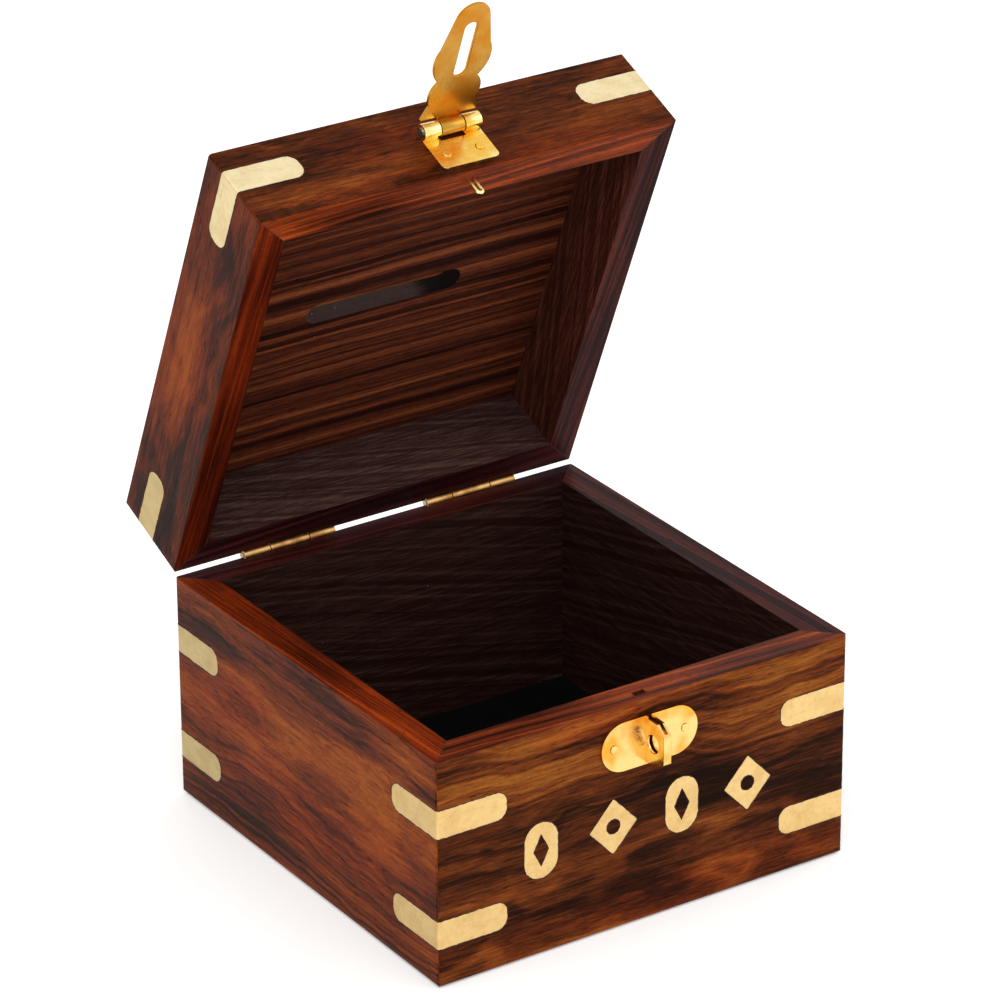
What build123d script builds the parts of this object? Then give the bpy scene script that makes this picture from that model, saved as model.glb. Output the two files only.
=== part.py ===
"""Wooden money box with a hinged lid, a coin slot, flush brass corner straps and a hasp.

Millimetres. X runs to the right and Y to the back as the front is faced, Z is up.
The origin is the centre of the underside. The lid is drawn shut, then every lid piece
is turned about the hinge axis to the resting opening of the finished box.
"""

from build123d import *
import math
import os

# ---- driving dimensions ----
width = 127.0            # outside, left to right
depth = width            # outside, front to back
base_height = 64.5
lid_height = 26.8
wall = 8.8               # thickness of the eight walls
floor_thickness = 4.0
panel_thickness = 6.1    # top panel of the lid; chosen, the photo suggests 3 to 5
rabbet = 4.0             # how far the floor and the top panel reach into the walls
felt_thickness = 0.8
rim_gap = 0.3            # between the two rims when shut
corner_ease = 0.9        # rounding of the vertical edges
foot_round = 1.4
rim_ease = 0.4
lid_round = 3.5
pocket_excess = 1.0      # how far a pocket's cutter stands out of the wood

lid_open = 67.0          # degrees from shut
leaf_open = 91.0         # degrees from hanging down against the lid's plate

coin_slot_length = 48.0
coin_slot_width = 7.0    # about 7.5 across where it shows, inside the lid

inlay = 1.0              # depth of every flush brass inlay
strap_height = 8.1
strap_arm = 21.0
strap_tip_round = 3.3
base_strap_levels = {"lower": 15.2, "upper": 46.8}
lid_strap_level = 16.0   # above the lid's rim

ornament_level = 30.3
ornament_places = {"first": -32.2, "second": -10.0, "third": 11.4, "fourth": 32.2}
ornament_half_width = 7.5
ornament_half_height = 8.1
ornament_corner_round = 0.5
diamond_eye = 2.1
oval_width = 10.4
oval_eye_half_width = 2.3
oval_eye_half_height = 4.6

butt_length = 28.4       # hinges at the back
butt_places = {"left": -27.9, "right": 30.3}
butt_sheet = 0.7
butt_leaf_height = 11.5
butt_barrel = 1.5        # radius
butt_pin = 0.8           # radius
butt_offset = 0.8        # axis behind the back faces
butt_middle = 12.0       # length of the middle knuckle
butt_cutback = 1.9       # leaf edge to axis, where the other leaf's knuckle turns
running_fit = 0.05       # radial
knuckle_gap = 0.3

hasp_x = 0.7             # centre of the hasp on the front
hasp_width = 17.4
hasp_sheet = 0.9
hasp_barrel = 2.25       # radius
hasp_level = 14.4        # axis above the lid's rim
hasp_standoff = 0.3      # barrel to wood
hasp_plate_foot = 2.0    # lower edge above the lid's rim
hasp_middle = 7.0        # length of the middle knuckle
leaf_cutback = 2.7
leaf_slot_start = 15.6   # from the axis
leaf_slot_end = 33.4
leaf_slot_width = 3.8

staple_level = 52.8
staple_length = 29.7
staple_height = 13.9
staple_sheet = 0.7
staple_loop_width = 2.4
staple_loop_height = 12.6
staple_reach = 8.8       # outermost point from the wood
staple_tip_height = 7.6
staple_chamfer_run = 3.3
padlock_hole_reach = 3.7
padlock_hole_radius = 2.6

nail_shank = 0.6         # radius
nail_head = 1.2          # radius
nail_head_height = 0.4
nail_length = 6.0
nail_fit = 0.02

loop_wire = 0.5          # radius of the locating loop's wire
loop_width = 2.6         # between leg centres is this less one wire
loop_reach = 5.5
loop_inset = 3.3         # from the front face
loop_root = 6.0          # leg length inside the lid wall
loop_slot_size = (3.8, 2.2, 6.4)

# ---- worked out ----
front = -depth / 2
back = depth / 2
lid_rim = base_height + rim_gap
lid_top = lid_rim + lid_height
inside = width - 2 * wall
hinge_y = back + butt_offset
hinge_z = base_height + rim_gap / 2
hasp_y = front - hasp_standoff - hasp_barrel
hasp_z = lid_rim + hasp_level
hinge_axis = Axis((0, hinge_y, hinge_z), (1, 0, 0))
hasp_axis = Axis((0, hasp_y, hasp_z), (1, 0, 0))
loop_y = front + loop_inset

os.makedirs("parts", exist_ok=True)


def save(piece, name):
    """Labels a finished piece and writes it in place."""
    piece.label = name
    export_step(piece, "parts/" + name + ".step")


def save_lid(piece, name):
    """The same for a piece of the lid, turned to the lid's resting opening."""
    save(piece.rotate(hinge_axis, -lid_open), name)


# ---- shapes that are both a brass piece and the pocket it sits in ----
def corner_strap(x_side, y_side, level, is_pocket=False):
    """Flush L of brass round one vertical edge, with rounded arm ends, or the pocket it lies in."""
    tip_x = x_side * (width / 2 - strap_arm)
    tip_y = y_side * (depth / 2 - strap_arm)
    square = strap_arm + pocket_excess
    with BuildPart() as strap:
        with BuildSketch(Plane.XY.offset(level - strap_height / 2)):
            if is_pocket:
                Rectangle(width + 2 * pocket_excess, depth + 2 * pocket_excess)
            else:
                RectangleRounded(width, depth, corner_ease)
            Rectangle(width - 2 * inlay, depth - 2 * inlay, mode=Mode.SUBTRACT)
            with Locations((tip_x + x_side * square / 2, tip_y + y_side * square / 2)):
                Rectangle(square, square, mode=Mode.INTERSECT)
        extrude(amount=strap_height)
        ends = strap.edges().filter_by(Axis.Y).filter_by_position(Axis.X, tip_x - 0.01, tip_x + 0.01)
        ends += strap.edges().filter_by(Axis.X).filter_by_position(Axis.Y, tip_y - 0.01, tip_y + 0.01)
        fillet(ends, strap_tip_round)
    return strap.part


def ornament_plane(centre_x):
    """The bottom of an ornament's pocket, seen from the front."""
    return Plane(origin=(centre_x, front + inlay, ornament_level), x_dir=(1, 0, 0), z_dir=(0, -1, 0))


def eyed_diamond(centre_x, is_pocket=False):
    """Upright diamond with a wooden disc left in its middle."""
    with BuildPart() as ornament:
        with BuildSketch(ornament_plane(centre_x)) as outline:
            Polygon(*diamond_corners(ornament_half_width, ornament_half_height), align=None)
            fillet(outline.vertices(), ornament_corner_round)
            Circle(diamond_eye, mode=Mode.SUBTRACT)
        extrude(amount=inlay + (pocket_excess if is_pocket else 0))
    return ornament.part


def diamond_corners(half_width, half_height):
    return [(half_width, 0), (0, half_height), (-half_width, 0), (0, -half_height)]


def eyed_oval(centre_x, is_pocket=False):
    """Upright round-ended oval with a wooden diamond left in its middle."""
    with BuildPart() as ornament:
        with BuildSketch(ornament_plane(centre_x)):
            SlotOverall(2 * ornament_half_height, oval_width, rotation=90)
            eye = diamond_corners(oval_eye_half_width, oval_eye_half_height)
            Polygon(*eye, align=None, mode=Mode.SUBTRACT)
        extrude(amount=inlay + (pocket_excess if is_pocket else 0))
    return ornament.part


def nails(places, shank=nail_shank, length=nail_length, head=nail_head):
    """Round-headed nails, each given by the plane its head stands on."""
    with BuildPart() as group:
        for place in places:
            with Locations(place):
                Cylinder(shank, length, align=(Align.CENTER, Align.CENTER, Align.MAX))
                if head:
                    Cylinder(head, nail_head_height, align=(Align.CENTER, Align.CENTER, Align.MIN))
        if head:
            rims = group.edges().filter_by(GeomType.CIRCLE).filter_by(lambda edge: edge.radius > head - 0.01)
            outer = [edge for edge in rims if is_head_top(edge, places)]
            fillet(outer, nail_head_height * 0.6)
    return group.part


def is_head_top(edge, places):
    """True for the circle round the crown of a nail's head."""
    for place in places:
        crown = place.origin + place.z_dir * nail_head_height
        if (edge.arc_center - crown).length < 0.01:
            return True
    return False


def nail_holes(places):
    return nails(places, shank=nail_shank + nail_fit, length=nail_length + 0.2, head=0)


def slab(x_range, y_range, z_range):
    """A plain block from three ranges."""
    size = [high - low for low, high in (x_range, y_range, z_range)]
    middle = [(high + low) / 2 for low, high in (x_range, y_range, z_range)]
    with BuildPart() as block:
        with Locations(tuple(middle)):
            Box(*size)
    return block.part


def rod(radius, x_range, y, z):
    """A round bar along X."""
    with BuildPart() as bar:
        with BuildSketch(Plane.YZ.offset(x_range[0])):
            with Locations((y, z)):
                Circle(radius)
        extrude(amount=x_range[1] - x_range[0])
    return bar.part


# ---- butt hinges ----
def butt_knuckles(centre_x, is_lid):
    """X ranges of one leaf's knuckles: the lid's leaf has the middle one, the base's the outer two."""
    half = butt_length / 2
    inner = butt_middle / 2
    if is_lid:
        return [(centre_x - inner, centre_x + inner)]
    left = (centre_x - half, centre_x - inner - knuckle_gap)
    right = (centre_x + inner + knuckle_gap, centre_x + half)
    return [left, right]


def butt_leaf(centre_x, is_lid):
    """Sheet let into a back face, with its knuckles about the hinge axis."""
    side = 1 if is_lid else -1
    sheet_front = hinge_y - butt_barrel
    half = butt_length / 2
    with BuildPart() as leaf:
        low, high = sorted((hinge_z + side * butt_cutback, hinge_z + side * butt_leaf_height))
        add(slab((centre_x - half, centre_x + half), (sheet_front, sheet_front + butt_sheet), (low, high)))
        for x_range in butt_knuckles(centre_x, is_lid):
            low, high = sorted((hinge_z, hinge_z + side * butt_cutback))
            add(slab(x_range, (sheet_front, sheet_front + butt_sheet), (low, high)))
            add(rod(butt_barrel, x_range, hinge_y, hinge_z))
        reach = (centre_x - half - 1, centre_x + half + 1)
        add(rod(butt_pin + running_fit, reach, hinge_y, hinge_z), mode=Mode.SUBTRACT)
        add(nail_holes(butt_nail_planes(centre_x, is_lid)), mode=Mode.SUBTRACT)
    return leaf.part


def butt_nail_planes(centre_x, is_lid):
    side = 1 if is_lid else -1
    level = hinge_z + side * 7.0
    return [Plane(origin=(centre_x + x, back, level), z_dir=(0, 1, 0)) for x in (-9.0, 9.0)]


def butt_pocket(centre_x, is_lid):
    """What a back wall gives up for one leaf and for the barrel beside it."""
    side = 1 if is_lid else -1
    half = butt_length / 2
    low, high = sorted((hinge_z, hinge_z + side * butt_leaf_height))
    with BuildPart() as pocket:
        sheet_front = hinge_y - butt_barrel
        add(slab((centre_x - half, centre_x + half), (sheet_front, back + 1), (low, high)))
        reach = (centre_x - half - knuckle_gap, centre_x + half + knuckle_gap)
        add(rod(butt_barrel + 0.35, reach, hinge_y, hinge_z))
        add(nail_holes(butt_nail_planes(centre_x, is_lid)))
    return pocket.part


# ---- nails of the hasp ----
staple_nail_planes = [
    Plane(origin=(hasp_x + x, front - staple_sheet, staple_level), z_dir=(0, -1, 0)) for x in (-11.0, 11.0)
]
plate_nail_planes = [
    Plane(origin=(hasp_x + x, front - hasp_sheet, lid_rim + 6.7), z_dir=(0, -1, 0)) for x in (-5.0, 5.0)
]

# ---- brass pieces of the two boxes ----
corners = {
    "front_left": (-1, -1),
    "front_right": (1, -1),
    "back_left": (-1, 1),
    "back_right": (1, 1),
}
base_strap_places = {
    "base_strap_" + corner + "_" + row: (*sides, level)
    for corner, sides in corners.items()
    for row, level in base_strap_levels.items()
}
lid_strap_places = {
    "lid_strap_" + corner: (*sides, lid_rim + lid_strap_level) for corner, sides in corners.items()
}
ornament_shapes = {
    "first": eyed_oval,
    "second": eyed_diamond,
    "third": eyed_oval,
    "fourth": eyed_diamond,
}


# ---- the eight mitred walls ----
def wall_blank(low, high, foot, crown, notch):
    """The front wall of a frame. foot and crown are the radii of its outer edges below and above.

    notch is the height range of the rabbet along its inner face.
    """
    with BuildPart() as blank:
        with BuildSketch(Plane.YZ.offset(-width)):
            with Locations((front + wall / 2, (low + high) / 2)):
                section = Rectangle(wall, high - low)
            outer, inner = section.vertices().group_by(Axis.X)
            outer_low, outer_high = outer.sort_by(Axis.Y)
            inner_low, inner_high = inner.sort_by(Axis.Y)
            fillet(outer_low, foot)
            fillet(outer_high, crown)
            fillet([inner_low, inner_high], rim_ease)
            with Locations((front + wall - rabbet, notch[0])):
                reach = rabbet + pocket_excess
                Rectangle(reach, notch[1] - notch[0], align=(Align.MIN, Align.MIN), mode=Mode.SUBTRACT)
        extrude(amount=2 * width)
        with BuildSketch(Plane.XY.offset(low - 1)):
            with BuildLine():
                half = width / 2
                mitre = half - corner_ease * (1 - math.sqrt(0.5))
                straight = half - corner_ease
                TangentArc((straight, -half), (mitre, -mitre), tangent=(1, 0))
                Line((mitre, -mitre), (0, 0))
                mirror(about=Plane.YZ)
                Line((-straight, -half), (straight, -half))
            make_face()
        extrude(amount=high - low + 2, mode=Mode.INTERSECT)
    return blank.part


def wall_pockets(is_lid):
    """Everything let into one frame's walls."""
    places = lid_strap_places if is_lid else base_strap_places
    pockets = [corner_strap(*place, is_pocket=True) for place in places.values()]
    pockets += [butt_pocket(centre_x, is_lid) for centre_x in butt_places.values()]
    pockets.append(nail_holes(plate_nail_planes if is_lid else staple_nail_planes))
    if is_lid:
        for x in (-leg_x, leg_x):
            pockets.append(wire_hole(x))
    else:
        for place, shape in ornament_shapes.items():
            pockets.append(shape(ornament_places[place], is_pocket=True))
        length, across, deep = loop_slot_size
        slot_z = (base_height - deep, base_height + 1)
        pockets.append(slab((-length / 2, length / 2), (loop_y - across / 2, loop_y + across / 2), slot_z))
    return pockets


def wire_hole(x):
    """Where one leg of the locating loop goes up into the lid's front wall."""
    with BuildPart() as hole:
        with BuildSketch(Plane.XY.offset(lid_rim - 1)):
            with Locations((x, loop_y)):
                Circle(loop_wire + nail_fit)
        extrude(amount=loop_root + 1.2)
    return hole.part


leg_x = loop_width / 2 - loop_wire
base_blank = wall_blank(0, base_height, foot_round, rim_ease, (-pocket_excess, floor_thickness))
lid_notch = (lid_top - panel_thickness, lid_top + pocket_excess)
lid_blank = wall_blank(lid_rim, lid_top, rim_ease, lid_round, lid_notch)
wall_turns = {"front": 0, "right": 90, "back": 180, "left": 270}
for prefix, blank, write in (("base", base_blank, save), ("lid", lid_blank, save_lid)):
    pockets = wall_pockets(prefix == "lid")
    for name, turn in wall_turns.items():
        with BuildPart() as wall_piece:
            add(blank, rotation=(0, 0, turn))
            for pocket in pockets:
                add(pocket, mode=Mode.SUBTRACT)
        write(wall_piece.part, prefix + "_" + name + "_wall")

for name, place in base_strap_places.items():
    save(corner_strap(*place), name)
for name, place in lid_strap_places.items():
    save_lid(corner_strap(*place), name)
for place, shape in ornament_shapes.items():
    save(shape(ornament_places[place]), "front_ornament_" + place)

# ---- floor, its felt, and the lid's slotted top panel ----
with BuildPart() as base_floor:
    with BuildSketch():
        Rectangle(inside + 2 * rabbet, inside + 2 * rabbet)
    extrude(amount=floor_thickness)
save(base_floor.part, "base_floor")

with BuildPart() as floor_felt:
    with BuildSketch(Plane.XY.offset(floor_thickness)):
        Rectangle(inside, inside)
    extrude(amount=felt_thickness)
save(floor_felt.part, "floor_felt")

with BuildPart() as lid_top_panel:
    with BuildSketch(Plane.XY.offset(lid_top)):
        Rectangle(inside + 2 * rabbet, inside + 2 * rabbet)
        SlotOverall(coin_slot_length, coin_slot_width, mode=Mode.SUBTRACT)
    extrude(amount=-panel_thickness)
save_lid(lid_top_panel.part, "lid_top_panel")

# ---- hinges ----
for side, centre_x in butt_places.items():
    save(butt_leaf(centre_x, False), side + "_hinge_base_leaf")
    save_lid(butt_leaf(centre_x, True), side + "_hinge_lid_leaf")
    pin_range = (centre_x - butt_length / 2 - 0.2, centre_x + butt_length / 2 + 0.2)
    save(rod(butt_pin, pin_range, hinge_y, hinge_z), side + "_hinge_pin")
base_nail_planes = [place for centre_x in butt_places.values() for place in butt_nail_planes(centre_x, False)]
lid_nail_planes = [place for centre_x in butt_places.values() for place in butt_nail_planes(centre_x, True)]
save(nails(base_nail_planes), "hinge_base_nails")
save_lid(nails(lid_nail_planes), "hinge_lid_nails")

# ---- staple: one folded strip with two wings and a bored loop ----
with BuildPart() as hasp_staple:
    with BuildSketch(Plane.XZ.offset(-front)):
        with Locations((hasp_x, staple_level)):
            SlotOverall(staple_length, staple_height)
    extrude(amount=staple_sheet)
    half = staple_loop_width / 2
    root = staple_loop_height / 2
    tip = staple_tip_height / 2
    shoulder = front - staple_reach + staple_chamfer_run
    with BuildSketch(Plane.YZ.offset(hasp_x - half)):
        with BuildLine():
            Polyline(
                (front, staple_level - root),
                (shoulder, staple_level - root),
                (front - staple_reach, staple_level - tip),
                (front - staple_reach, staple_level + tip),
                (shoulder, staple_level + root),
                (front, staple_level + root),
                close=True,
            )
        make_face()
    extrude(amount=staple_loop_width)
    bends = hasp_staple.edges().filter_by(Axis.Z).group_by(Axis.Y)[0]
    fillet(bends, 0.5)
    slit = half - staple_sheet
    inner_reach = (front - staple_reach + staple_sheet, front + 1)
    add(slab((hasp_x - slit, hasp_x + slit), inner_reach, (staple_level - 20, staple_level + 20)), mode=Mode.SUBTRACT)
    hole_y = front - padlock_hole_reach
    hole = rod(padlock_hole_radius, (hasp_x - 3, hasp_x + 3), hole_y, staple_level)
    add(hole, mode=Mode.SUBTRACT)
    add(nail_holes(staple_nail_planes), mode=Mode.SUBTRACT)
save(hasp_staple.part, "hasp_staple")
save(nails(staple_nail_planes), "hasp_staple_nails")

# ---- hasp: plate on the lid, pin and swinging leaf ----
hasp_left = hasp_x - hasp_width / 2
hasp_right = hasp_x + hasp_width / 2
middle_left = hasp_x - hasp_middle / 2
middle_right = hasp_x + hasp_middle / 2
hasp_bore = hasp_barrel - hasp_sheet
plate_foot = lid_rim + hasp_plate_foot

with BuildPart() as hasp_plate:
    with BuildSketch(Plane.XZ.offset(-front)):
        with Locations((hasp_x, (plate_foot + hasp_z) / 2)):
            outline = Rectangle(hasp_width, hasp_z - plate_foot)
        fillet(outline.vertices().group_by(Axis.Y)[0], 1.5)
    extrude(amount=hasp_sheet)
    clearing = (middle_left - knuckle_gap, middle_right + knuckle_gap)
    for x_range in ((hasp_left, clearing[0]), (clearing[1], hasp_right)):
        add(rod(hasp_barrel, x_range, hasp_y, hasp_z))
    notch_z = (hasp_z - hasp_barrel - 0.6, hasp_z + 1)
    add(slab(clearing, (hasp_y - 5, front + 1), notch_z), mode=Mode.SUBTRACT)
    add(rod(hasp_bore, (hasp_left - 1, hasp_right + 1), hasp_y, hasp_z), mode=Mode.SUBTRACT)
    add(nail_holes(plate_nail_planes), mode=Mode.SUBTRACT)
save_lid(hasp_plate.part, "hasp_plate")
save_lid(nails(plate_nail_planes), "hasp_plate_nails")
hasp_pin = rod(hasp_bore - running_fit, (hasp_left - 0.3, hasp_right + 0.3), hasp_y, hasp_z)
save_lid(hasp_pin, "hasp_pin")

with BuildPart() as hasp_leaf:
    leaf_plane = Plane(origin=(hasp_x, hasp_y - hasp_bore, hasp_z), x_dir=(1, 0, 0), z_dir=(0, -1, 0))
    with BuildSketch(leaf_plane):
        with BuildLine():
            # One half of the outline, from the barrel down to the tip: a shoulder,
            # a small lobe, a waist, a large lobe, then a straight taper that runs
            # smoothly into the round tip.
            shoulder = (7.0, -6.9)
            small_lobe = (7.9, -10.4)
            waist = (6.0, -14.6)
            large_lobe = (8.6, -20.3)
            taper_start = (7.5, -25.4)
            tip_start = (4.95, -35.63)
            tip_end = (0, -39.5)
            Line((0, -leaf_cutback), (hasp_width / 2, -leaf_cutback))
            Line((hasp_width / 2, -leaf_cutback), shoulder)
            ThreePointArc(shoulder, small_lobe, waist)
            ThreePointArc(waist, large_lobe, taper_start)
            Line(taper_start, tip_start)
            rise = tip_start[1] - tip_end[1]
            tip_radius = (tip_start[0] ** 2 + rise ** 2) / (2 * rise)
            tip_centre = tip_end[1] + tip_radius
            bearing = math.radians(-35)
            bulge = (tip_radius * math.cos(bearing), tip_centre + tip_radius * math.sin(bearing))
            ThreePointArc(tip_start, bulge, tip_end)
            mirror(about=Plane.YZ)
        make_face()
        with Locations((0, -(leaf_slot_start + leaf_slot_end) / 2)):
            SlotOverall(leaf_slot_end - leaf_slot_start, leaf_slot_width, rotation=90, mode=Mode.SUBTRACT)
    extrude(amount=hasp_sheet)
    neck_y = (hasp_y - hasp_barrel, hasp_y - hasp_bore)
    add(slab((middle_left, middle_right), neck_y, (hasp_z - leaf_cutback - 0.1, hasp_z)))
    add(rod(hasp_barrel, (middle_left, middle_right), hasp_y, hasp_z))
    add(rod(hasp_bore, (middle_left - 1, middle_right + 1), hasp_y, hasp_z), mode=Mode.SUBTRACT)
save_lid(hasp_leaf.part.rotate(hasp_axis, -leaf_open), "hasp_leaf")

# ---- locating loop: a U of wire in the lid's front rim ----
with BuildPart() as lid_locating_loop:
    bend = leg_x
    straight = lid_rim - loop_reach + loop_wire + bend
    with BuildLine(Plane.XZ.offset(-loop_y)) as loop_path:
        Line((-leg_x, lid_rim + loop_root), (-leg_x, straight))
        ThreePointArc((-leg_x, straight), (0, straight - bend), (leg_x, straight))
        Line((leg_x, straight), (leg_x, lid_rim + loop_root))
    with BuildSketch(Plane(origin=(-leg_x, loop_y, lid_rim + loop_root), z_dir=(0, 0, -1))):
        Circle(loop_wire)
    sweep(path=loop_path.line)
save_lid(lid_locating_loop.part, "lid_locating_loop")
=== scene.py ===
import math
import random

import bmesh
import bpy
from mathutils import Matrix, Vector


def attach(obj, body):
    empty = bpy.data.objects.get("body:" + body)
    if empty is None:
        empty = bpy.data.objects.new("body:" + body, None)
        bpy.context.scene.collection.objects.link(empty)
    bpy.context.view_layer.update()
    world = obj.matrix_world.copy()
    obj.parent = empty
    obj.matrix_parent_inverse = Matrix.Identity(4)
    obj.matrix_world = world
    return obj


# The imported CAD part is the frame. Lengths are in millimetres, except in the section on
# the camera, light and floor, and MM turns them into metres where an object is made.
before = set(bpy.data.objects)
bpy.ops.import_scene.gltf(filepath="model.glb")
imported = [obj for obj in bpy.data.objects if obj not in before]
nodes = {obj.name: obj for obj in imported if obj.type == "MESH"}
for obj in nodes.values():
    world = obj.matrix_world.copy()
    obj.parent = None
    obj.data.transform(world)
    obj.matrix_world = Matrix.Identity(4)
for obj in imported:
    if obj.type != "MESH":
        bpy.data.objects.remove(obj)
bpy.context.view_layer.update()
MM = 0.001

HALF = 63.5  # from the middle to an outer face
WALL = 8.8
INNER = HALF - WALL  # from the middle to an inner face
BASE_TOP = 64.5
LID_RIM = 64.8  # the lid's lower edge when shut
LID_TOP = 91.6
CORNER_EASE = 0.9  # rounding of the vertical edges
OPEN_ANGLE = math.radians(67.0)
HINGE = Vector((0.0, 64.3, 64.65))
SLOT_HALF_LENGTH = 24.05  # the coin slot with 0.05 to spare, so that its walls are inside
SLOT_HALF_WIDTH = 3.55
MERGE = 0.002  # points closer than this are one
SHARP = math.radians(50.0)  # faces that meet at more than this make an edge

# The lid is drawn open. This turns one of its points back to where it is with the lid shut.
SHUT = (
    Matrix.Translation(HINGE)
    @ Matrix.Rotation(OPEN_ANGLE, 4, "X")
    @ Matrix.Translation(-HINGE)
)
OPENED = SHUT.inverted()


# ---------------------------------------------------------------- shader building


class Shader:
    """A procedural material under construction. Inputs are sockets, numbers or tuples."""

    def __init__(self, name):
        self.material = bpy.data.materials.new(name)
        self.material.use_nodes = True
        self.tree = self.material.node_tree
        self.tree.nodes.clear()

    def add(self, kind, **settings):
        node = self.tree.nodes.new(kind)
        for key, value in settings.items():
            setattr(node, key, value)
        return node

    def put(self, socket, value):
        if isinstance(value, bpy.types.NodeSocket):
            self.tree.links.new(value, socket)
        elif isinstance(value, (tuple, list, Vector)) and socket.type == "RGBA":
            socket.default_value = (*value, 1.0)
        else:
            socket.default_value = value

    def math(self, operation, *values, clamp=False):
        node = self.add("ShaderNodeMath", operation=operation, use_clamp=clamp)
        for socket, value in zip(node.inputs, values):
            self.put(socket, value)
        return node.outputs[0]

    def vector(self, operation, *values):
        node = self.add("ShaderNodeVectorMath", operation=operation)
        for socket, value in zip(node.inputs, values):
            self.put(socket, value)
        return node.outputs["Value" if operation == "LENGTH" else "Vector"]

    def combine(self, x, y, z):
        node = self.add("ShaderNodeCombineXYZ")
        for socket, value in zip(node.inputs, (x, y, z)):
            self.put(socket, value)
        return node.outputs[0]

    def separate(self, vector):
        node = self.add("ShaderNodeSeparateXYZ")
        self.put(node.inputs[0], vector)
        return node.outputs

    def noise(self, vector, sizes, detail=2.0, roughness=0.5, offset=0.0):
        """Noise whose features are about sizes (mm) long in the three directions."""
        scales = tuple(1.0 / size for size in sizes)
        place = self.vector("MULTIPLY", vector, scales)
        place = self.vector("ADD", place, (offset, 0.37 * offset, -0.71 * offset))
        node = self.add("ShaderNodeTexNoise")
        self.put(node.inputs["Vector"], place)
        self.put(node.inputs["Scale"], 1.0)
        self.put(node.inputs["Detail"], detail)
        self.put(node.inputs["Roughness"], roughness)
        return node.outputs[0]

    def stripes(self, distance, period, detail=3.0, roughness=0.55, offset=0.0):
        """Irregular bands that change with one distance (mm)."""
        node = self.add("ShaderNodeTexNoise", noise_dimensions="1D")
        place = self.math("MULTIPLY_ADD", distance, 1.0 / period, offset)
        self.put(node.inputs["W"], place)
        self.put(node.inputs["Scale"], 1.0)
        self.put(node.inputs["Detail"], detail)
        self.put(node.inputs["Roughness"], roughness)
        return node.outputs[0]

    def cells(self, vector, sizes, offset=0.0):
        """Voronoi distance to the nearest seed point, and the cell's random colour."""
        scales = tuple(1.0 / size for size in sizes)
        place = self.vector("MULTIPLY", vector, scales)
        place = self.vector("ADD", place, (offset, 1.3 * offset, 0.6 * offset))
        node = self.add("ShaderNodeTexVoronoi")
        self.put(node.inputs["Vector"], place)
        self.put(node.inputs["Scale"], 1.0)
        return node.outputs["Distance"], node.outputs["Color"]

    def span(self, value, low, high, to_low=0.0, to_high=1.0):
        """Eases from to_low to to_high as value goes from low to high."""
        node = self.add("ShaderNodeMapRange", interpolation_type="SMOOTHSTEP")
        for socket, number in zip(node.inputs, (value, low, high, to_low, to_high)):
            self.put(socket, number)
        return node.outputs[0]

    def ramp(self, value, stops):
        """A colour for each value, from (place, colour) stops."""
        node = self.add("ShaderNodeValToRGB")
        self.put(node.inputs[0], value)
        band = node.color_ramp
        while len(band.elements) < len(stops):
            band.elements.new(0.5)
        for element, (place, colour) in zip(band.elements, stops):
            element.position = place
            element.color = (*colour, 1.0)
        return node.outputs[0]

    def mix(self, amount, first, second, blend="MIX"):
        node = self.add("ShaderNodeMix", data_type="RGBA", blend_type=blend)
        sockets = [s for s in node.inputs if s.enabled]
        self.put(sockets[0], amount)
        self.put(sockets[1], first)
        self.put(sockets[2], second)
        return [s for s in node.outputs if s.enabled][0]

    def bump(self, height, strength, distance):
        node = self.add("ShaderNodeBump")
        self.put(node.inputs["Strength"], strength)
        self.put(node.inputs["Distance"], distance * MM)
        self.put(node.inputs["Height"], height)
        return node.outputs[0]

    def finish(self, **inputs):
        """Joins the inputs to a principled shader and returns the material."""
        shader = self.add("ShaderNodeBsdfPrincipled")
        output = self.add("ShaderNodeOutputMaterial")
        for name, value in inputs.items():
            self.put(shader.inputs[name.replace("_", " ")], value)
        self.tree.links.new(shader.outputs[0], output.inputs[0])
        return self.material


def board_place(s, lid):
    """Millimetres in the row frame with the lid shut, for a piece of the base or lid."""
    mapping = s.add("ShaderNodeMapping")
    s.put(mapping.inputs["Vector"], s.add("ShaderNodeTexCoord").outputs["Object"])
    mapping.inputs["Scale"].default_value = (1.0 / MM,) * 3
    if lid:
        mapping.inputs["Rotation"].default_value = (OPEN_ANGLE, 0.0, 0.0)
        mapping.inputs["Location"].default_value = SHUT.translation
    return mapping.outputs[0]


# ---------------------------------------------------------------- wood

BLACK = (0.006, 0.0018, 0.0010)
UMBER = (0.024, 0.0062, 0.0022)
RED_BROWN = (0.072, 0.0160, 0.0042)
RUSSET = (0.142, 0.0330, 0.0065)
GOLDEN = (0.250, 0.0800, 0.0120)


def spot(s, along, up, patch, wobble):
    """A soft-edged elliptical patch on a board, 1 in its middle and 0 outside."""
    centre_along, centre_up, reach_along, reach_up = patch
    a = s.math("MULTIPLY_ADD", along, 1 / reach_along, -centre_along / reach_along)
    u = s.math("MULTIPLY_ADD", up, 1 / reach_up, -centre_up / reach_up)
    far = s.vector("LENGTH", s.combine(a, u, 0.0))
    far = s.math("ADD", far, s.math("MULTIPLY_ADD", wobble, 2.6, -1.3))
    return s.span(far, 0.30, 1.30, 1.0, 0.0)


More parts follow.
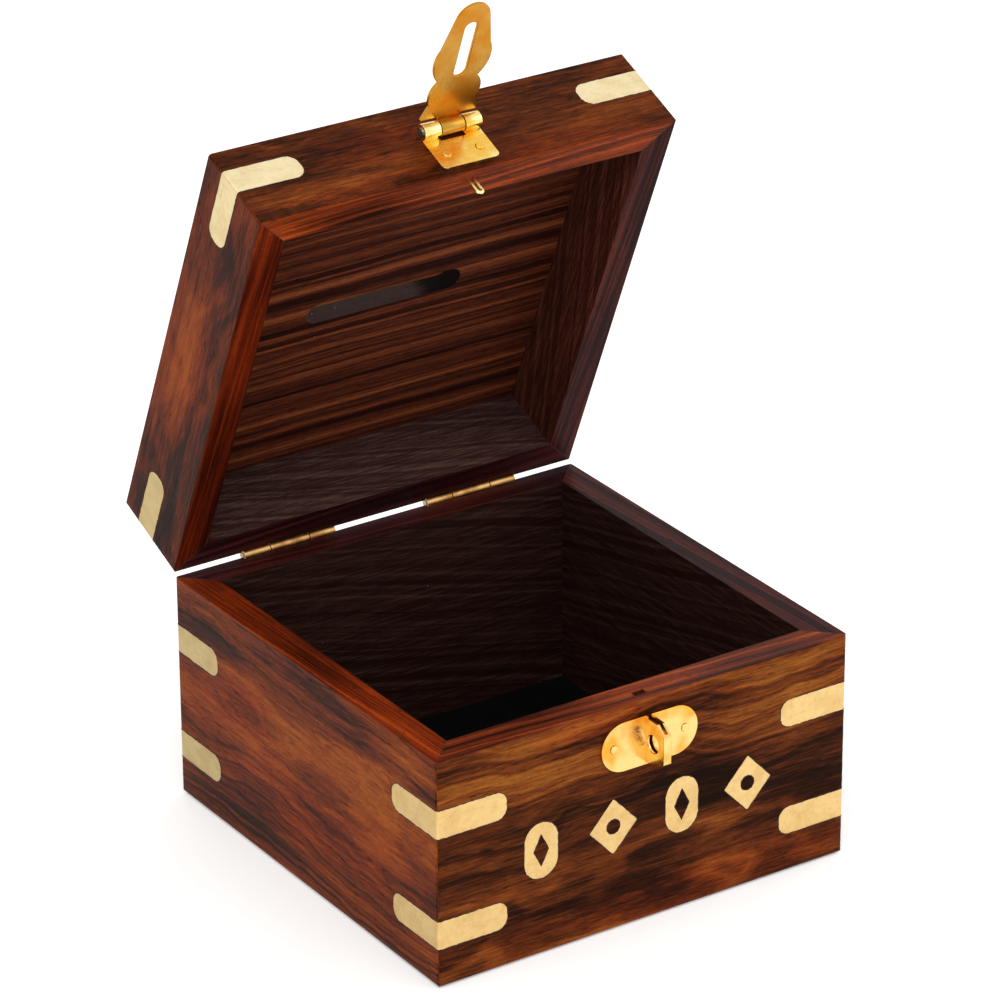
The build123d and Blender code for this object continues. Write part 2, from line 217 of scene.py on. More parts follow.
def growth_bands(s, place, side, z, seed, heart, warp, band):
    """Broad and fine bands over the distance from a heart line that wanders."""
    sway_side = s.noise(place, (52.0, 26.0, 26.0), 2.0, 0.5, 3.1 * seed)
    sway_up = s.noise(place, (44.0, 24.0, 24.0), 2.0, 0.5, 5.7 * seed + 20.0)
    ripple = s.noise(place, (9.0, 4.5, 4.5), 2.0, 0.5, 1.9 * seed + 40.0)
    ripple = s.math("MULTIPLY_ADD", ripple, 1.3, -0.65)
    to_side = s.math("ADD", side, s.math("MULTIPLY_ADD", sway_side, warp, -heart[0]))
    to_up = s.math("ADD", z, s.math("MULTIPLY_ADD", sway_up, warp, -heart[1]))
    ring = s.vector("LENGTH", s.combine(to_side, to_up, 0.0))
    ring = s.math("ADD", ring, ripple)
    broad = s.stripes(ring, band, 3.0, 0.55, seed)
    fine = s.stripes(ring, band * 0.17, 2.0, 0.6, seed + 30.0)
    return broad, fine


def rim_face(s, along, side, drift, cloud, hair, seed, glow):
    """The rim is sawn straighter than the outer faces, and is redder."""
    lean = s.math("MULTIPLY_ADD", along, 0.05, s.math("MULTIPLY", drift, 4.0))
    streak = s.stripes(s.math("ADD", side, lean), 2.9, 5.0, 0.68, seed + 8.0)
    tone = s.math("MULTIPLY_ADD", streak, 1.25, -0.11)
    tone = s.math("ADD", tone, s.math("MULTIPLY_ADD", cloud, 0.7, -0.35))
    tone = s.math("ADD", tone, s.math("MULTIPLY_ADD", hair, 0.5, -0.25))
    return s.ramp(
        tone,
        [
            (0.24, (0.010, 0.003, 0.002)),
            (0.42, (0.060 * glow, 0.011 * glow, 0.005)),
            (0.58, (0.150 * glow, 0.024 * glow, 0.006)),
            (0.80, (0.300 * glow, 0.056 * glow, 0.011)),
        ],
    )


def inner_face(s, along, level, drift, hair, thread, seed, lean, panel):
    """Straight streaks inside the box: bold on the lid's panel, faint on the walls, whose
    near-black colours are painted shade.
    """
    slant = s.math("MULTIPLY_ADD", along, lean, s.math("MULTIPLY", drift, 3.5))
    width, depth = (4.4, 1.15) if panel else (2.4, 0.45)
    streak = s.stripes(s.math("ADD", level, slant), width, 5.0, 0.70, seed + 3.0)
    tone = s.math("MULTIPLY_ADD", streak, depth, 0.5 - 0.5 * depth)
    tone = s.math("ADD", tone, s.math("MULTIPLY_ADD", hair, 0.40, -0.20))
    tone = s.math("ADD", tone, s.math("MULTIPLY_ADD", thread, 0.22, -0.11))
    if panel:
        return s.ramp(
            tone,
            [
                (0.28, (0.012, 0.0032, 0.0025)),
                (0.43, (0.036, 0.0085, 0.0050)),
                (0.56, (0.092, 0.0215, 0.0090)),
                (0.74, (0.190, 0.0500, 0.0170)),
            ],
        )
    # The inner walls are coloured near black: painted shade inside the box.
    return s.ramp(
        tone,
        [
            (0.28, (0.0050, 0.0020, 0.0017)),
            (0.48, (0.0165, 0.0064, 0.0052)),
            (0.72, (0.062, 0.0290, 0.0215)),
        ],
    )


def slot_walls(s, x, y, hair, colour):
    """The walls of the coin slot are grey, with a painted shadow darkening them towards one end.
    """
    past = s.math("SUBTRACT", s.math("ABSOLUTE", x), SLOT_HALF_LENGTH - SLOT_HALF_WIDTH)
    past = s.math("MAXIMUM", past, 0.0)
    from_slot = s.vector("LENGTH", s.combine(past, y, 0.0))
    in_slot = s.math("LESS_THAN", from_slot, SLOT_HALF_WIDTH)
    # Painted shadow: the slot's colour goes near black towards its one end.
    painted_end_shadow = s.span(s.math("ADD", x, s.math("MULTIPLY", hair, 6.0)), 13.0, 19.0)
    wall_colour = s.mix(painted_end_shadow, (0.048, 0.030, 0.026), (0.006, 0.004, 0.004))
    return s.mix(in_slot, colour, wall_colour)


def dusted(s, place, colour, within, seed):
    """A few grains of dust lie on the inside."""
    speck, chance = s.cells(place, (7.0, 7.0, 7.0), seed)
    lucky = s.math("GREATER_THAN", s.separate(chance)[0], 0.62)
    dust = s.math("MULTIPLY", s.span(speck, 0.012, 0.030, 1.0, 0.0), lucky)
    dust = s.math("MULTIPLY", dust, within)
    return s.mix(dust, colour, (0.35, 0.30, 0.27))


def wood(
    name,
    lid=False,
    grain="X",
    seed=1.0,
    heart=(-90.0, 22.0),
    warp=8.0,
    band=9.0,
    shift=0.0,
    contrast=1.0,
    tint=(1.0, 1.0, 1.0),
    gold=(),
    smoke=(),
    ember=(),
    panel=False,
    rim_glow=1.0,
    inside=(1.0, 1.0, 1.0),
    ember_strength=0.5,
    inside_lean=0.24,
):
    """Oiled rosewood with growth bands round a heart line, pores, and patches of colour.
    gold, smoke and ember are patches (along, up, reach along, reach up) on the board."""
    s = Shader(name)
    x, y, z = s.separate(board_place(s, lid))
    along, side = (x, y) if grain == "X" else (y, x)
    place = s.combine(along, side, z)
    up = side if panel else z

    broad, fine = growth_bands(s, place, side, z, seed, heart, warp, band)
    hair = s.noise(place, (24.0, 0.55, 0.55), 3.0, 0.6, seed + 7.0)
    cloud = s.noise(place, (38.0, 14.0, 14.0), 2.0, 0.5, seed + 60.0)
    thread = s.noise(place, (6.5, 0.62, 0.62), 3.0, 0.65, seed + 17.0)
    tone = s.math("MULTIPLY_ADD", broad, 0.85 * contrast, 0.5 - 0.425 * contrast)
    tone = s.math("ADD", tone, s.math("MULTIPLY_ADD", fine, 0.50, -0.25))
    tone = s.math("ADD", tone, s.math("MULTIPLY_ADD", hair, 0.34, -0.17))
    tone = s.math("ADD", tone, s.math("MULTIPLY_ADD", thread, 0.46, -0.23))
    tone = s.math("ADD", tone, s.math("MULTIPLY_ADD", cloud, 0.50, -0.25 + shift))
    wobble = s.noise(place, (30.0, 3.2, 3.2), 3.0, 0.6, seed + 80.0)
    for patch in gold:
        lift = s.math("MULTIPLY", spot(s, along, up, patch, wobble), 0.15)
        tone = s.math("ADD", tone, lift)
    for patch in smoke:
        drop = s.math("MULTIPLY", spot(s, along, up, patch, wobble), 0.16)
        tone = s.math("SUBTRACT", tone, drop)
    colour = s.ramp(
        tone,
        [
            (0.18, BLACK),
            (0.34, UMBER),
            (0.48, RED_BROWN),
            (0.63, RUSSET),
            (0.86, GOLDEN),
        ],
    )
    for patch in ember:
        redden = s.math("MULTIPLY", spot(s, along, up, patch, wobble), ember_strength)
        red = s.mix(1.0, colour, (1.30, 0.78, 0.70), "MULTIPLY")
        colour = s.mix(redden, colour, red)

    # Which face of the board this is: the rim, the inside, or else the outside.
    rim_level = LID_RIM if lid else BASE_TOP
    from_rim = s.math("ABSOLUTE", s.math("SUBTRACT", z, rim_level))
    on_rim = s.span(from_rim, 0.10, 0.30, 1.0, 0.0)
    reach = s.math("MAXIMUM", s.math("ABSOLUTE", x), s.math("ABSOLUTE", y))
    within = s.span(reach, INNER + 0.08, INNER + 0.30, 1.0, 0.0)
    # The floor's underside is an outside face.
    within = s.math("MULTIPLY", within, s.span(z, 0.4, 1.4))
    if panel:
        on_rim = 0.0
        within = s.span(z, LID_TOP - 1.0, LID_TOP - 0.6, 1.0, 0.0)

    drift = s.noise(place, (60.0, 20.0, 20.0), 2.0, 0.5, seed + 25.0)
    rim_colour = rim_face(s, along, side, drift, cloud, hair, seed, rim_glow)
    inner_colour = inner_face(s, along, up, drift, hair, thread, seed, inside_lean, panel)
    # inside scales a board's inner colour board by board; on the walls that colour is painted
    # shade.
    inner_colour = s.mix(1.0, inner_colour, inside, "MULTIPLY")
    if panel:
        inner_colour = slot_walls(s, x, y, hair, inner_colour)
    colour = s.mix(on_rim, colour, rim_colour)
    colour = s.mix(within, colour, inner_colour)
    colour = s.mix(1.0, colour, tint, "MULTIPLY")

    # Pores: short dark dashes along the grain, denser in the dark bands.
    dash = s.noise(place, (3.4, 0.42, 0.42), 2.0, 0.55, seed + 11.0)
    pores = s.math("MULTIPLY", s.span(dash, 0.545, 0.68), s.span(fine, 0.30, 0.70, 1.0, 0.45))
    colour = s.mix(s.math("MULTIPLY", pores, 0.62), colour, (0.010, 0.004, 0.003))
    fleck = s.noise(place, (1.6, 0.5, 0.5), 1.0, 0.5, seed + 13.0)
    brighten = s.math("MULTIPLY", s.span(fleck, 0.56, 0.72), 0.28)
    warm = s.mix(1.0, colour, (1.9, 1.75, 1.5), "MULTIPLY")
    colour = s.mix(brighten, colour, warm)
    colour = dusted(s, place, colour, within, seed)

    gloss = s.math("MULTIPLY_ADD", cloud, 0.22, 0.24)
    gloss = s.math("ADD", gloss, s.math("MULTIPLY", pores, 0.20))
    gloss = s.math("ADD", gloss, s.math("MULTIPLY", within, 0.28))
    relief = s.math("MULTIPLY", pores, -1.0)
    relief = s.math("ADD", relief, s.math("MULTIPLY", hair, 0.35))
    swell = s.noise(place, (11.0, 5.0, 5.0), 1.0, 0.5, seed + 90.0)
    relief = s.math("ADD", relief, s.math("MULTIPLY", swell, 0.6))
    return s.finish(
        Base_Color=colour,
        Roughness=gloss,
        IOR=1.33,
        Specular_IOR_Level=0.085,
        Specular_Tint=(1.0, 0.50, 0.24),
        Normal=s.bump(relief, 0.55, 0.05),
    )


def paint(node, material):
    """Gives a CAD node one material. Its shape stays as the CAD made it."""
    mesh = nodes[node].data
    mesh.materials.clear()
    mesh.materials.append(material)


BOARDS = {
    "base_front_wall": wood(
        "front_wood",
        seed=1.0,
        heart=(-92.0, 16.0),
        warp=15.0,
        band=10.0,
        shift=-0.03,
        contrast=1.2,
        gold=[(-44, 54, 32, 12), (46, 52, 30, 14), (-50, 34, 20, 4)],
        smoke=[(-8, 14, 34, 10), (20, 36, 22, 8), (48, 22, 20, 12)],
        ember=[(10, 6, 60, 9), (-4, 60, 30, 6)],
    ),
    "base_back_wall": wood(
        "back_wood", seed=2.3, heart=(96.0, 40.0), warp=13.0, band=10.0, rim_glow=0.28
    ),
    "base_left_wall": wood(
        "left_wood",
        grain="Y",
        seed=3.7,
        heart=(-84.0, 44.0),
        warp=10.0,
        band=6.5,
        shift=0.03,
        contrast=0.60,
        tint=(0.97, 0.71, 0.46),
        gold=[(-22, 42, 36, 12), (-48, 56, 18, 8), (20, 28, 30, 6), (-36, 26, 24, 5)],
        smoke=[(48, 54, 18, 5), (34, 9, 34, 7), (-10, 60, 30, 3)],
        ember=[(0, 22, 60, 14), (40, 40, 26, 10)],
        ember_strength=0.35,
    ),
    "base_right_wall": wood(
        "right_wood", grain="Y", seed=5.1, heart=(90.0, 20.0), warp=14.0, rim_glow=0.28
    ),
    "lid_front_wall": wood(
        "lid_front_wood",
        lid=True,
        seed=6.9,
        heart=(-150.0, 70.0),
        warp=9.0,
        band=7.0,
        shift=-0.04,
        contrast=0.6,
        tint=(1.0, 0.94, 0.86),
        rim_glow=1.25,
        gold=[(-42, 70, 24, 4)],
        ember=[(-18, 82, 26, 6), (0, 67, 60, 4)],
    ),
    "lid_back_wall": wood(
        "lid_back_wood",
        lid=True,
        seed=8.2,
        heart=(100.0, 60.0),
        warp=12.0,
        rim_glow=0.24,
        inside=(2.0, 2.3, 2.5),
    ),
    "lid_left_wall": wood(
        "lid_left_wood",
        lid=True,
        grain="Y",
        seed=9.4,
        heart=(-80.0, 96.0),
        warp=20.0,
        band=12.0,
        shift=-0.01,
        contrast=0.6,
        tint=(0.93, 0.60, 0.30),
        rim_glow=0.62,
        gold=[(-6, 82, 30, 6)],
        smoke=[(-44, 72, 14, 6), (56, 72, 12, 9), (44, 82, 20, 12)],
    ),
    "lid_right_wall": wood(
        "lid_right_wood",
        lid=True,
        grain="Y",
        seed=11.0,
        heart=(110.0, 70.0),
        warp=8.0,
        rim_glow=0.3,
        inside=(2.5, 1.5, 1.25),
    ),
    "lid_top_panel": wood(
        "lid_panel_wood",
        lid=True,
        seed=12.6,
        heart=(420.0, 60.0),
        warp=4.0,
        band=8.0,
        contrast=1.2,
        inside_lean=0.01,
        panel=True,
    ),
    "base_floor": wood(
        "floor_wood", seed=14.2, heart=(300.0, 20.0), warp=5.0, band=9.0, inside=(2.0, 2.0, 2.0)
    ),
}
for node, made in BOARDS.items():
    paint(node, made)


# ---------------------------------------------------------------- metal and felt


def brass(
    name,
    lid=False,
    base=(0.93, 0.66, 0.29),
    stain=(0.80, 0.42, 0.10),
    cloudy=5.0,
    mottle=0.3,
    rough=0.34,
    scratch=0.5,
    side=(0.90, 0.90, 0.90),
    seed=1.0,
):
    """Polished and handled brass: fine scratches, cloudy tarnish and worn gloss, and painted
    shade and reflection on the side arms of a strap.
    """
    s = Shader(name)
    x, y, z = s.separate(board_place(s, lid))
    place = s.combine(x, y, z)
    cloud = s.noise(place, (cloudy, cloudy, cloudy), 2.0, 0.5, seed)
    colour = s.mix(s.span(cloud, 0.40, 0.68), base, stain)
    grime = s.noise(place, (1.3, 1.3, 1.3), 2.0, 0.6, seed + 5.0)
    shade = s.ramp(grime, [(0.28, (0.80, 0.76, 0.70)), (0.50, (1.0, 1.0, 1.0))])
    colour = s.mix(mottle, colour, s.mix(1.0, colour, shade, "MULTIPLY"))
    # The side arms of a bent strap are coloured greyer and darker than the front ones, by side
    # and more so towards the back: painted shade and reflection.
    painted_side_shade = s.span(s.math("ABSOLUTE", x), HALF - 0.25, HALF - 0.05)
    painted_side_shade = s.math("MULTIPLY", painted_side_shade, s.span(y, -70.0, 50.0, 0.45, 1.0))
    colour = s.mix(painted_side_shade, colour, s.mix(1.0, colour, side, "MULTIPLY"))
    lines = s.noise(place, (7.0, 7.0, 0.10), 2.0, 0.6, seed + 9.0)
    slanted = s.vector("ADD", place, s.combine(0.0, 0.0, s.math("MULTIPLY", x, 0.8)))
    crossing = s.noise(slanted, (9.0, 9.0, 0.16), 1.0, 0.5, seed + 15.0)
    cuts = s.span(lines, 0.58, 0.70)
    deep = s.span(crossing, 0.66, 0.74)
    marks = s.math("ADD", cuts, deep, clamp=True)
    dull = s.math("MULTIPLY", marks, 0.22 * scratch)
    colour = s.mix(dull, colour, (0.30, 0.20, 0.10))
    gloss = s.math("MULTIPLY_ADD", cloud, 0.16, rough - 0.08)
    gloss = s.math("ADD", gloss, s.math("MULTIPLY", marks, 0.10))
    relief = s.math("ADD", s.math("MULTIPLY", marks, -0.5), cloud)
    normal = s.bump(relief, 0.35, 0.04)
    return s.finish(Base_Color=colour, Metallic=1.0, Roughness=gloss, Normal=normal)


def felt(name):
    """Black flocked lining: soft fibres that catch a little light."""
    s = Shader(name)
    place = board_place(s, False)
    nap = s.noise(place, (0.5, 0.5, 0.5), 3.0, 0.7, 2.0)
    drift = s.noise(place, (14.0, 14.0, 14.0), 2.0, 0.5, 4.0)
    tone = s.math("MULTIPLY_ADD", drift, 0.5, s.math("MULTIPLY", nap, 0.5))
    colour = s.ramp(tone, [(0.3, (0.0006, 0.0005, 0.0005)), (0.7, (0.0040, 0.0036, 0.0036))])
    normal = s.bump(nap, 0.8, 0.25)
    return s.finish(
        Base_Color=colour,
        Roughness=0.95,
        Specular_IOR_Level=0.02,
        Sheen_Weight=0.012,
        Sheen_Roughness=0.5,
        Normal=normal,
    )


def steel(name):
    """Grey pin wire with drawn lines and oily marks."""
    s = Shader(name)
    place = board_place(s, False)
    lines = s.noise(place, (3.0, 0.1, 0.1), 2.0, 0.6, 3.0)
    marks = s.noise(place, (1.5, 1.5, 1.5), 3.0, 0.6, 6.0)
    colour = s.ramp(marks, [(0.35, (0.16, 0.15, 0.15)), (0.65, (0.42, 0.41, 0.40))])
    gloss = s.math("MULTIPLY_ADD", marks, 0.3, 0.22)
    normal = s.bump(lines, 0.3, 0.03)
    return s.finish(Base_Color=colour, Metallic=1.0, Roughness=gloss, Normal=normal)


def filler(name):
    """The dark glue line round an inlay and in a mitre."""
    s = Shader(name)
    place = board_place(s, False)
    grit = s.noise(place, (0.9, 0.9, 0.9), 2.0, 0.6, 8.0)
    colour = s.ramp(grit, [(0.3, (0.004, 0.002, 0.002)), (0.7, (0.030, 0.012, 0.007))])
    normal = s.bump(grit, 0.5, 0.05)
    return s.finish(Base_Color=colour, Roughness=0.75, Normal=normal)


STAPLE = {"base": (0.90, 0.62, 0.22), "stain": (0.80, 0.38, 0.040), "cloudy": 8.0}
PLATE = {"base": (0.98, 0.82, 0.36), "stain": (0.92, 0.54, 0.085), "cloudy": 8.0}
LEAF = {"base": (0.57, 0.295, 0.048), "stain": (0.56, 0.21, 0.010), "cloudy": 8.5}
base_strap_brass = brass(
    "base_strap_brass",
    base=(0.78, 0.54, 0.225),
    stain=(0.72, 0.48, 0.19),
    mottle=0.5,
    rough=0.42,
    scratch=0.8,
    # side: painted shade and reflection on the side arms
    side=(0.62, 0.68, 0.74),
)
lid_strap_brass = brass(
    "lid_strap_brass",
    lid=True,
    base=(0.92, 0.78, 0.47),
    stain=(0.86, 0.70, 0.40),
    mottle=0.4,
    rough=0.42,
    scratch=1.2,
    # side: painted shade and reflection on the side arms
    side=(0.56, 0.50, 0.38),
    seed=4.0,
)
base_hasp_brass = brass("base_hasp_brass", rough=0.20, scratch=0.4, **STAPLE)
lid_hasp_brass = brass("lid_hasp_brass", lid=True, rough=0.20, seed=7.0, **PLATE)
leaf_brass = brass("leaf_brass", lid=True, rough=0.28, seed=9.0, **LEAF)
hinge_brass = brass(
    "worn_hinge_brass", base=(0.60, 0.34, 0.12), stain=(0.34, 0.15, 0.045), rough=0.3
)
base_nail_brass = brass("base_nail_brass", rough=0.3, seed=2.0, **STAPLE)
lid_nail_brass = brass("lid_nail_brass", lid=True, rough=0.3, seed=7.0, **PLATE)
pin_steel = steel("drawn_steel")
black_felt = felt("black_flock")
dark_filler = filler("dark_filler")

for node in nodes:
    on_lid = node.startswith(("lid_", "hasp_plate", "hasp_leaf"))
    if "strap" in node or "ornament" in node:
        paint(node, lid_strap_brass if on_lid else base_strap_brass)
    elif "nails" in node:
        paint(node, lid_nail_brass if on_lid else base_nail_brass)
    elif "pin" in node:
        paint(node, pin_steel)
    elif "hinge" in node:
        paint(node, hinge_brass)
    elif node == "hasp_leaf":
        paint(node, leaf_brass)
    elif node in ("hasp_plate", "lid_locating_loop"):
        paint(node, lid_hasp_brass)
    elif node == "hasp_staple":
        paint(node, base_hasp_brass)
    elif node == "floor_felt":
        paint(node, black_felt)


# Sheet brass is stamped, so its edges are slightly rounded and catch the light.
EASED_EDGES = {"hasp_leaf": 0.16, "hasp_plate": 0.14, "hasp_staple": 0.14}
for node, width in EASED_EDGES.items():
    weld = nodes[node].modifiers.new("weld", "WELD")
    weld.merge_threshold = MERGE * MM
    ease = nodes[node].modifiers.new("edge_ease", "BEVEL")
    ease.width = width * MM
    ease.segments = 2
    ease.limit_method = "ANGLE"
    ease.angle_limit = SHARP
    ease.use_clamp_overlap = True


# ---------------------------------------------------------------- dark joint lines

SKIN_TOLERANCE = 0.02
FILLER_STEP = 0.9  # distance between the points of a line of filler
INLAY_LINE_RADIUS = 0.17
INLAY_LINE_DEPTH = 0.10
MITRE_LINE_RADIUS = 0.10
EDGE_LINE_DEPTH = 0.06  # how far a line down a corner edge is sunk, in X and in Y
RIM_LINE_DEPTH = 0.05  # how far a line across the rim is sunk
RIM_LINE_START = 0.1  # from the inner corner to a line across the rim, in X and in Y
RIM_LINE_SHORT = 0.4  # from its other end to the corner edge's line, in X and in Y
NAIL_RING_RADIUS = 0.07
RING_POINTS = 16


def shut_point(point, on_lid):
    """A row frame point in metres, in millimetres with the lid shut."""
    point = point / MM
    return SHUT @ point if on_lid else point


def row_point(point, on_lid):
    """The opposite of shut_point."""
    return (OPENED @ point if on_lid else point) * MM


def off_skin(point):
    """How far a shut point is from the box's four outer faces and eased corners."""
    flat = HALF - CORNER_EASE
    beyond = Vector((max(abs(point.x) - flat, 0.0), max(abs(point.y) - flat, 0.0)))
    return abs(beyond.length - CORNER_EASE)


def skin_edges(node, on_lid):
    """The sharp edges of an inlay that lie on the outer faces of the box."""
    shape = bmesh.new()
    shape.from_mesh(nodes[node].data)
    bmesh.ops.remove_doubles(shape, verts=shape.verts, dist=MERGE * MM)
    found = []
    for edge in shape.edges:
        ends = [shut_point(v.co, on_lid) for v in edge.verts]
        if len(edge.link_faces) != 2 or max(off_skin(p) for p in ends) > SKIN_TOLERANCE:
            continue
        if edge.calc_face_angle() > SHARP:
            found.append(ends)
    shape.free()
    return found


def chains(edges):
    """Joins edges end to end into closed loops of points."""

    def key(point):
        return tuple(round(c, 2) for c in point)

    links = {}
    for first, second in edges:
        links.setdefault(key(first), []).append(key(second))
        links.setdefault(key(second), []).append(key(first))
    loops = []
    waiting = set(links)
    while waiting:
        start = min(waiting)
        loop = []
        here = start
        while here in waiting:
            waiting.discard(here)
            onward = [k for k in links[here] if k in waiting]
            loop.append(Vector(here))
            if not onward:
                break
            here = onward[0]
        loops.append(loop)
    return loops


def resampled(points, step, closed):
    """Points about one step apart along a polyline."""
    line = points + [points[0]] if closed else points
    spaced = []
    for first, second in zip(line, line[1:]):
        count = max(1, round((second - first).length / step))
        spaced += [first.lerp(second, i / count) for i in range(count)]
    return spaced if closed else spaced + [line[-1]]


def filler_lines(name, lines, radius, on_lid, wander, seed):
    """One mesh of thin tubes of dark filler, uneven in thickness. Each of the lines is
    (points, closed), and its points stray by up to wander."""
    dice = random.Random(seed)
    curve = bpy.data.curves.new(name, "CURVE")
    curve.dimensions = "3D"
    curve.bevel_depth = radius * MM
    curve.bevel_resolution = 1
    for points, closed in lines:
        spaced = resampled(points, FILLER_STEP, closed)
        spline = curve.splines.new("POLY")
        spline.points.add(len(spaced) - 1)
        spline.use_cyclic_u = closed
        for target_point, point in zip(spline.points, spaced):
            strayed = point + Vector([dice.uniform(-wander, wander) for _ in range(3)])
            target_point.co = (*row_point(strayed, on_lid), 1.0)
            target_point.radius = dice.uniform(0.75, 1.3)
    holder = bpy.data.objects.new(name + "_curve", curve)
    bpy.context.scene.collection.objects.link(holder)
    bpy.context.view_layer.update()
    mesh = bpy.data.meshes.new_from_object(
        holder.evaluated_get(bpy.context.evaluated_depsgraph_get())
    )
    bpy.data.objects.remove(holder)
    mesh.materials.clear()
    mesh.materials.append(dark_filler)
    mesh.shade_smooth()
    piece = bpy.data.objects.new(name, mesh)
    bpy.context.scene.collection.objects.link(piece)
    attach(piece, "lid" if on_lid else "base")


def sunk(point, depth):
    """A point on the box's outer skin, moved inwards."""
    flat = HALF - CORNER_EASE
    out = Vector(
        (
            math.copysign(max(abs(point.x) - flat, 0.0), point.x),
            math.copysign(max(abs(point.y) - flat, 0.0), point.y),
            0.0,
        )
    )
    return point - out.normalized() * depth


def loose_parts(node, on_lid):
    """The lowest and highest corners, with the lid shut, of each nail in a group."""
    shape = bmesh.new()
    shape.from_mesh(nodes[node].data)
    bmesh.ops.remove_doubles(shape, verts=shape.verts, dist=MERGE * MM)
    waiting = set(shape.verts)
    parts = []
    while waiting:
        group = [waiting.pop()]
        for vert in group:
            for edge in vert.link_edges:
                other = edge.other_vert(vert)
                if other in waiting:
                    waiting.discard(other)
                    group.append(other)
        spots = [shut_point(v.co, on_lid) for v in group]
        low = Vector([min(p[i] for p in spots) for i in range(3)])
        high = Vector([max(p[i] for p in spots) for i in range(3)])
        parts.append((low, high))
    shape.free()
    return sorted(parts, key=lambda part: (part[0].x, part[0].z))


HEAD_RADIUS = 1.2  # of a nail
HEAD_HEIGHT = 0.4
# Heights between the straps, where a mitre shows on a corner edge.
MITRE_SPANS = {
    "base": ((0.9, 10.9), (19.5, 42.5), (51.1, 64.0)),
    "lid": ((65.3, 76.5), (85.1, 87.8)),
}
inlaid = [n for n in nodes if "strap" in n or "ornament" in n]
for on_lid in (False, True):
    body = "lid" if on_lid else "base"
    outlines = []
    for node in sorted(n for n in inlaid if n.startswith("lid_") == on_lid):
        for loop in chains(skin_edges(node, on_lid)):
            outlines.append(([sunk(p, INLAY_LINE_DEPTH) for p in loop], True))
    filler_lines(body + "_inlay_lines", outlines, INLAY_LINE_RADIUS, on_lid, wander=0.03, seed=5)

    # The mitres: down each corner edge between the straps, and across the rim.
    rim = LID_RIM + RIM_LINE_DEPTH if on_lid else BASE_TOP - RIM_LINE_DEPTH
    edge_reach = HALF - CORNER_EASE * (1 - math.sqrt(0.5)) - EDGE_LINE_DEPTH
    mitres = []
    for sign_x in (-1, 1):
        for sign_y in (-1, 1):
            corner = Vector((sign_x, sign_y, 0.0))
            for low, high in MITRE_SPANS[body]:
                down = [corner * edge_reach + Vector((0, 0, z)) for z in (low, high)]
                mitres.append((down, False))
            across = [
                corner * (INNER + RIM_LINE_START) + Vector((0, 0, rim)),
                corner * (edge_reach - RIM_LINE_SHORT) + Vector((0, 0, rim)),
            ]
            mitres.append((across, False))
    filler_lines(body + "_mitre_lines", mitres, MITRE_LINE_RADIUS, on_lid, wander=0.02, seed=6)

# A thin dark ring is laid round each nail's head.
for node in sorted(n for n in nodes if n.endswith("_nails")):
    on_lid = node.startswith(("lid_", "hasp_plate", "hinge_lid"))
    rings = []
    for low, high in loose_parts(node, on_lid):
        centre = (low + high) / 2
        on_front = centre.y < 0
        plane_y = low.y + HEAD_HEIGHT if on_front else high.y - HEAD_HEIGHT
        ring = []
        for i in range(RING_POINTS):
            turn = math.tau * i / RING_POINTS
            across = centre.x + HEAD_RADIUS * math.cos(turn)
            height = centre.z + HEAD_RADIUS * math.sin(turn)
            ring.append(Vector((across, plane_y, height)))
        rings.append((ring, True))
    filler_lines(node + "_dark_ring", rings, NAIL_RING_RADIUS, on_lid, wander=0.02, seed=7)


# ---------------------------------------------------------------- camera, light, floor
# Places are in metres, and the lens and sensor in millimetres. The camera stands where
# the photographer's did.

AIM = Vector((0.0059, 0.0121, 0.0887))
CAMERA_PLACE = Vector((-0.7046, -1.0606, 0.6969))
CAMERA_LENS = 195.2
CAMERA_ROLL = math.radians(-0.3)
SENSOR_WIDTH = 36.0
LIT_POINT = Vector((0.0, 0.0, 0.08))
FLOOR_REACH = 6.0
FLOOR_DROP = 0.0002  # keeps the floor clear of the box's underside

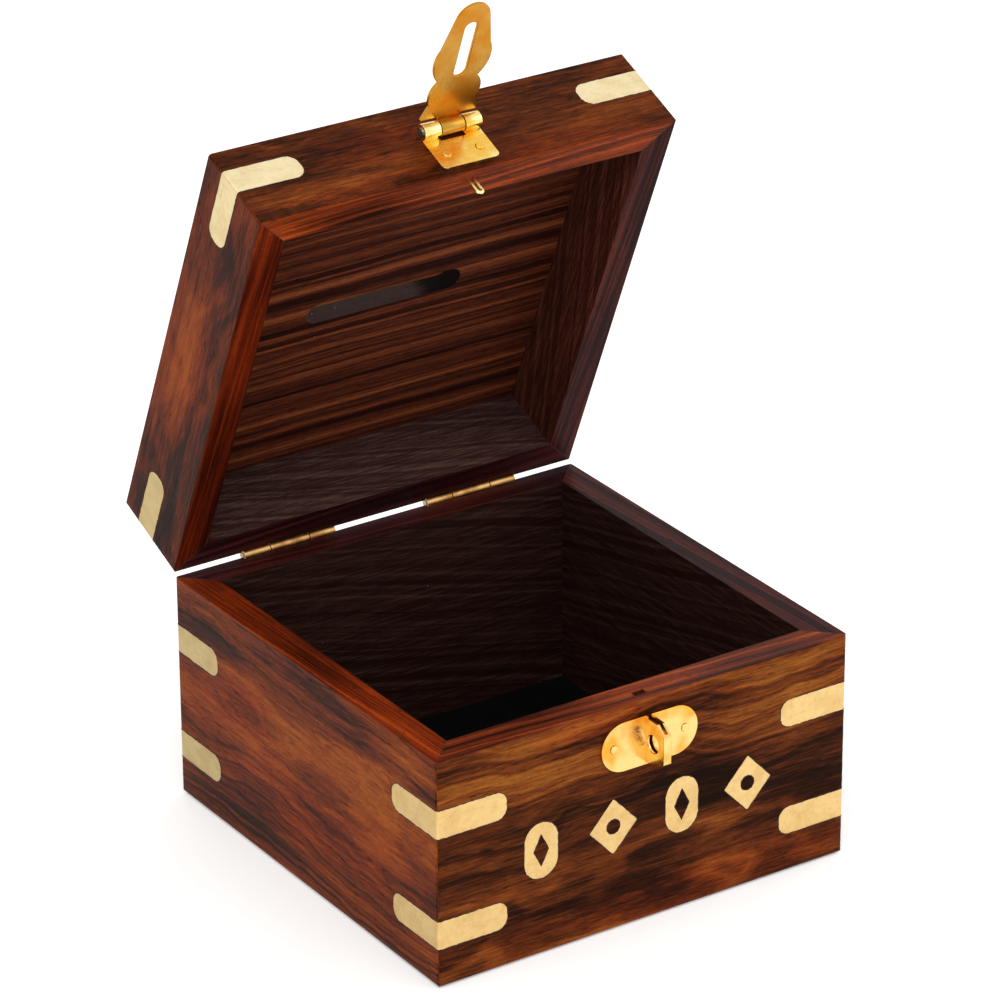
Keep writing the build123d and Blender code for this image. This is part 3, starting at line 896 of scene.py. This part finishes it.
camera = bpy.data.objects.new("camera", bpy.data.cameras.new("camera"))
camera.data.lens = CAMERA_LENS
camera.data.sensor_width = SENSOR_WIDTH
camera.data.clip_start = 0.05
camera.data.clip_end = 50.0
camera.location = CAMERA_PLACE
look = (AIM - CAMERA_PLACE).to_track_quat("-Z", "Y").to_matrix()
camera.rotation_euler = (look @ Matrix.Rotation(CAMERA_ROLL, 3, "Z")).to_euler()
bpy.context.scene.collection.objects.link(camera)
bpy.context.scene.camera = camera


def softbox(name, place, size, power, colour):
    """A square area light at place, aimed at the box."""
    light = bpy.data.lights.new(name, "AREA")
    light.shape = "SQUARE"
    light.size = size
    light.energy = power
    light.color = colour
    holder = bpy.data.objects.new(name, light)
    holder.location = place
    holder.rotation_euler = (LIT_POINT - Vector(place)).to_track_quat("-Z", "Y").to_euler()
    bpy.context.scene.collection.objects.link(holder)


softbox("key_light", (-0.9, -1.0, 1.5), size=0.9, power=11.0, colour=(1.0, 0.97, 0.93))
softbox("fill_light", (1.3, -0.9, 0.9), size=1.1, power=5.0, colour=(0.95, 0.97, 1.0))

world = bpy.data.worlds.new("studio")
bpy.context.scene.world = world
world.use_nodes = True
sky = world.node_tree.nodes["Background"]
sky.inputs["Color"].default_value = (1.0, 1.0, 1.0, 1.0)
sky.inputs["Strength"].default_value = 1.0
bpy.context.scene.view_settings.view_transform = "Standard"

floor_mesh = bpy.data.meshes.new("studio_floor")
corners = [(x * FLOOR_REACH, y * FLOOR_REACH, 0) for x, y in ((-1, -1), (1, -1), (1, 1), (-1, 1))]
floor_mesh.from_pydata(corners, [], [(0, 1, 2, 3)])
floor = bpy.data.objects.new("studio_floor", floor_mesh)
floor.location.z = -FLOOR_DROP
bpy.context.scene.collection.objects.link(floor)
paper = Shader("studio_paper")
fibres = paper.noise(board_place(paper, False), (90.0, 90.0, 90.0), 2.0, 0.5, 1.0)
paper_colour = paper.ramp(fibres, [(0.3, (0.90, 0.90, 0.90)), (0.7, (0.93, 0.93, 0.93))])
glow = paper.finish(
    Base_Color=paper_colour,
    Roughness=0.9,
    Emission_Color=(1.0, 1.0, 1.0),
    Emission_Strength=0.20,
)
floor_mesh.materials.append(glow)
